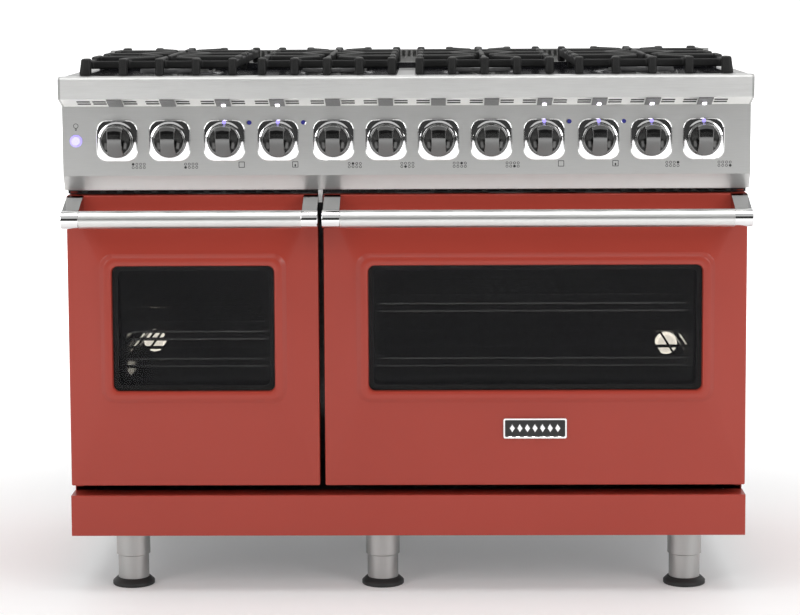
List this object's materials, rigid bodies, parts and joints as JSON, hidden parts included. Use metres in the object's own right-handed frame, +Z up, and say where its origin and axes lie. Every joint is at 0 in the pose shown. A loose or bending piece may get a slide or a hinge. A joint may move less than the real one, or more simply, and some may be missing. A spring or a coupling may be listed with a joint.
{
  "type": "freestanding gas range",
  "caption": "Freestanding gas range with two oven doors, rows of control knobs, cast-iron grates over sealed burners, a landing ledge and adjustable legs.",
  "frame": {"origin": "on the floor, under the middle of the range's overall box", "axes": "+X to the right seen from the front, -Y out of the front, +Z up"},
  "size_m": [1.216, 0.742, 0.97],
  "materials": {
    "base_pan": "galvanised grey",
    "side_panels": "gloss red enamel",
    "rear_panel": "galvanised steel",
    "rear_vent_trim": "brushed",
    "cooktop_deck": "brushed",
    "burner_pans": "black porcelain enamel",
    "landing_ledge": "brushed",
    "ledge_end_caps": "matte black",
    "control_panel": "brushed",
    "knob_bezels": "polished",
    "panel_lamps": "clear lens",
    "door_vent_grille": "matte black",
    "kick_panel": "gloss red enamel",
    "leg_sleeves": "brushed",
    "gas_manifold": "plain",
    "power_inlet": "black",
    "burner_heads": "cast",
    "burner_caps": "black enamel",
    "oven_cavities": "porcelain enamel",
    "rack_guides": "plated wire",
    "oven_burners": "heat tinted",
    "fan_cover": "porcelain enamel",
    "oven_lamps": "clear",
    "door_gaskets": "woven fibreglass",
    "hinge_brackets": "plain",
    "leg_tubes": "brushed",
    "leg_feet": "black",
    "left_door_skin": "gloss red enamel",
    "left_door_glass": "tinted",
    "left_door_liner": "porcelain enamel",
    "left_handle_tube": "brushed",
    "left_handle_brackets": "polished",
    "right_door_skin": "gloss red enamel",
    "right_door_glass": "tinted",
    "right_door_liner": "porcelain enamel",
    "right_handle_tube": "brushed",
    "right_handle_brackets": "polished",
    "nameplate": "polished",
    "convection_fan": "plain",
    "light_button": "lit",
    "grate_1": "matte black enamel",
    "grate_2": "matte black enamel",
    "grate_3": "matte black enamel",
    "grate_4": "matte black enamel",
    "left_rack_lower": "plated wire",
    "left_rack_upper": "plated wire",
    "right_rack_lower": "plated wire",
    "right_rack_upper": "plated wire",
    "knob_1": "gloss black",
    "knob_2": "gloss black",
    "knob_3": "gloss black",
    "knob_4": "gloss black",
    "knob_5": "gloss black",
    "knob_6": "gloss black",
    "knob_7": "gloss black",
    "knob_8": "gloss black",
    "knob_9": "gloss black",
    "knob_10": "gloss black",
    "knob_11": "gloss black",
    "knob_12": "gloss black"
  },
  "bodies": {
    "range_body": {"base_pan": "base_pan", "side_panels": "side_panels", "rear_panel": "rear_panel", "rear_vent_trim": "rear_vent_trim", "cooktop_deck": "cooktop_deck", "burner_pans": "burner_pans", "landing_ledge": "landing_ledge", "ledge_end_caps": "ledge_end_caps", "control_panel": "control_panel", "knob_bezels": "knob_bezels", "panel_lamps": "panel_lamps", "door_vent_grille": "door_vent_grille", "kick_panel": "kick_panel", "leg_sleeves": "leg_sleeves", "gas_manifold": "gas_manifold", "power_inlet": "power_inlet", "burner_heads": "burner_heads", "burner_caps": "burner_caps", "oven_cavities": "oven_cavities", "rack_guides": "rack_guides", "oven_burners": "oven_burners", "fan_cover": "fan_cover", "oven_lamps": "oven_lamps", "door_gaskets": "door_gaskets", "hinge_brackets": "hinge_brackets"},
    "legs": {"leg_tubes": "leg_tubes", "leg_feet": "leg_feet"},
    "left_door": {"left_door_skin": "left_door_skin", "left_door_glass": "left_door_glass", "left_door_liner": "left_door_liner", "left_handle_tube": "left_handle_tube", "left_handle_brackets": "left_handle_brackets"},
    "right_door": {"right_door_skin": "right_door_skin", "right_door_glass": "right_door_glass", "right_door_liner": "right_door_liner", "right_handle_tube": "right_handle_tube", "right_handle_brackets": "right_handle_brackets", "nameplate": "nameplate"},
    "convection_fan": {"convection_fan": "convection_fan"},
    "light_button": {"light_button": "light_button"},
    "grate_1": {"grate_1": "grate_1"},
    "grate_2": {"grate_2": "grate_2"},
    "grate_3": {"grate_3": "grate_3"},
    "grate_4": {"grate_4": "grate_4"},
    "left_rack_lower": {"left_rack_lower": "left_rack_lower"},
    "left_rack_upper": {"left_rack_upper": "left_rack_upper"},
    "right_rack_lower": {"right_rack_lower": "right_rack_lower"},
    "right_rack_upper": {"right_rack_upper": "right_rack_upper"},
    "knob_1": {"knob_1": "knob_1"},
    "knob_2": {"knob_2": "knob_2"},
    "knob_3": {"knob_3": "knob_3"},
    "knob_4": {"knob_4": "knob_4"},
    "knob_5": {"knob_5": "knob_5"},
    "knob_6": {"knob_6": "knob_6"},
    "knob_7": {"knob_7": "knob_7"},
    "knob_8": {"knob_8": "knob_8"},
    "knob_9": {"knob_9": "knob_9"},
    "knob_10": {"knob_10": "knob_10"},
    "knob_11": {"knob_11": "knob_11"},
    "knob_12": {"knob_12": "knob_12"}
  },
  "joints": [
    {"name": "left_door_hinge", "type": "hinge", "parent": "range_body", "child": "left_door", "pos_m": [0, -0.28, 0.213], "axis": [1, 0, 0], "range_deg": [0, 90]},
    {"name": "right_door_hinge", "type": "hinge", "parent": "range_body", "child": "right_door", "pos_m": [0, -0.28, 0.213], "axis": [1, 0, 0], "range_deg": [0, 90]},
    {"name": "grate_1_lift", "type": "slide", "parent": "range_body", "child": "grate_1", "axis": [0, 0, 1], "range_m": [0, 0.12]},
    {"name": "grate_2_lift", "type": "slide", "parent": "range_body", "child": "grate_2", "axis": [0, 0, 1], "range_m": [0, 0.12]},
    {"name": "grate_3_lift", "type": "slide", "parent": "range_body", "child": "grate_3", "axis": [0, 0, 1], "range_m": [0, 0.12]},
    {"name": "grate_4_lift", "type": "slide", "parent": "range_body", "child": "grate_4", "axis": [0, 0, 1], "range_m": [0, 0.12]},
    {"name": "left_rack_lower_slide", "type": "slide", "parent": "range_body", "child": "left_rack_lower", "axis": [0, -1, 0], "range_m": [0, 0.018]},
    {"name": "left_rack_upper_slide", "type": "slide", "parent": "range_body", "child": "left_rack_upper", "axis": [0, -1, 0], "range_m": [0, 0.018]},
    {"name": "right_rack_lower_slide", "type": "slide", "parent": "range_body", "child": "right_rack_lower", "axis": [0, -1, 0], "range_m": [0, 0.018]},
    {"name": "right_rack_upper_slide", "type": "slide", "parent": "range_body", "child": "right_rack_upper", "axis": [0, -1, 0], "range_m": [0, 0.018]},
    {"name": "convection_fan_spin", "type": "hinge", "parent": "range_body", "child": "convection_fan", "pos_m": [0.229, 0.23, 0.455], "axis": [0, 1, 0], "continuous": true},
    {"name": "light_button_press", "type": "slide", "parent": "range_body", "child": "light_button", "axis": [0, 1, 0], "range_m": [0, 0.0025], "stiffness_N_per_m": 300},
    {"name": "knob_1_turn", "type": "hinge", "parent": "range_body", "child": "knob_1", "pos_m": [-0.511, -0.33, 0.825], "axis": [0, -1, 0], "range_deg": [0, 270]},
    {"name": "knob_2_turn", "type": "hinge", "parent": "range_body", "child": "knob_2", "pos_m": [-0.418, -0.33, 0.825], "axis": [0, -1, 0], "range_deg": [0, 270]},
    {"name": "knob_3_turn", "type": "hinge", "parent": "range_body", "child": "knob_3", "pos_m": [-0.321, -0.33, 0.825], "axis": [0, -1, 0], "range_deg": [0, 300]},
    {"name": "knob_4_turn", "type": "hinge", "parent": "range_body", "child": "knob_4", "pos_m": [-0.226, -0.33, 0.825], "axis": [0, -1, 0], "range_deg": [0, 300]},
    {"name": "knob_5_turn", "type": "hinge", "parent": "range_body", "child": "knob_5", "pos_m": [-0.128, -0.33, 0.825], "axis": [0, -1, 0], "range_deg": [0, 270]},
    {"name": "knob_6_turn", "type": "hinge", "parent": "range_body", "child": "knob_6", "pos_m": [-0.035, -0.33, 0.825], "axis": [0, -1, 0], "range_deg": [0, 270]},
    {"name": "knob_7_turn", "type": "hinge", "parent": "range_body", "child": "knob_7", "pos_m": [0.0576, -0.33, 0.825], "axis": [0, -1, 0], "range_deg": [0, 270]},
    {"name": "knob_8_turn", "type": "hinge", "parent": "range_body", "child": "knob_8", "pos_m": [0.151, -0.33, 0.825], "axis": [0, -1, 0], "range_deg": [0, 270]},
    {"name": "knob_9_turn", "type": "hinge", "parent": "range_body", "child": "knob_9", "pos_m": [0.244, -0.33, 0.825], "axis": [0, -1, 0], "range_deg": [0, 300]},
    {"name": "knob_10_turn", "type": "hinge", "parent": "range_body", "child": "knob_10", "pos_m": [0.34, -0.33, 0.825], "axis": [0, -1, 0], "range_deg": [0, 300]},
    {"name": "knob_11_turn", "type": "hinge", "parent": "range_body", "child": "knob_11", "pos_m": [0.433, -0.33, 0.825], "axis": [0, -1, 0], "range_deg": [0, 270]},
    {"name": "knob_12_turn", "type": "hinge", "parent": "range_body", "child": "knob_12", "pos_m": [0.525, -0.33, 0.825], "axis": [0, -1, 0], "range_deg": [0, 270]},
    {"name": "legs_adjust", "type": "slide", "parent": "range_body", "child": "legs", "axis": [0, 0, 1], "range_m": [-0.029, 0.006]}
  ]
}
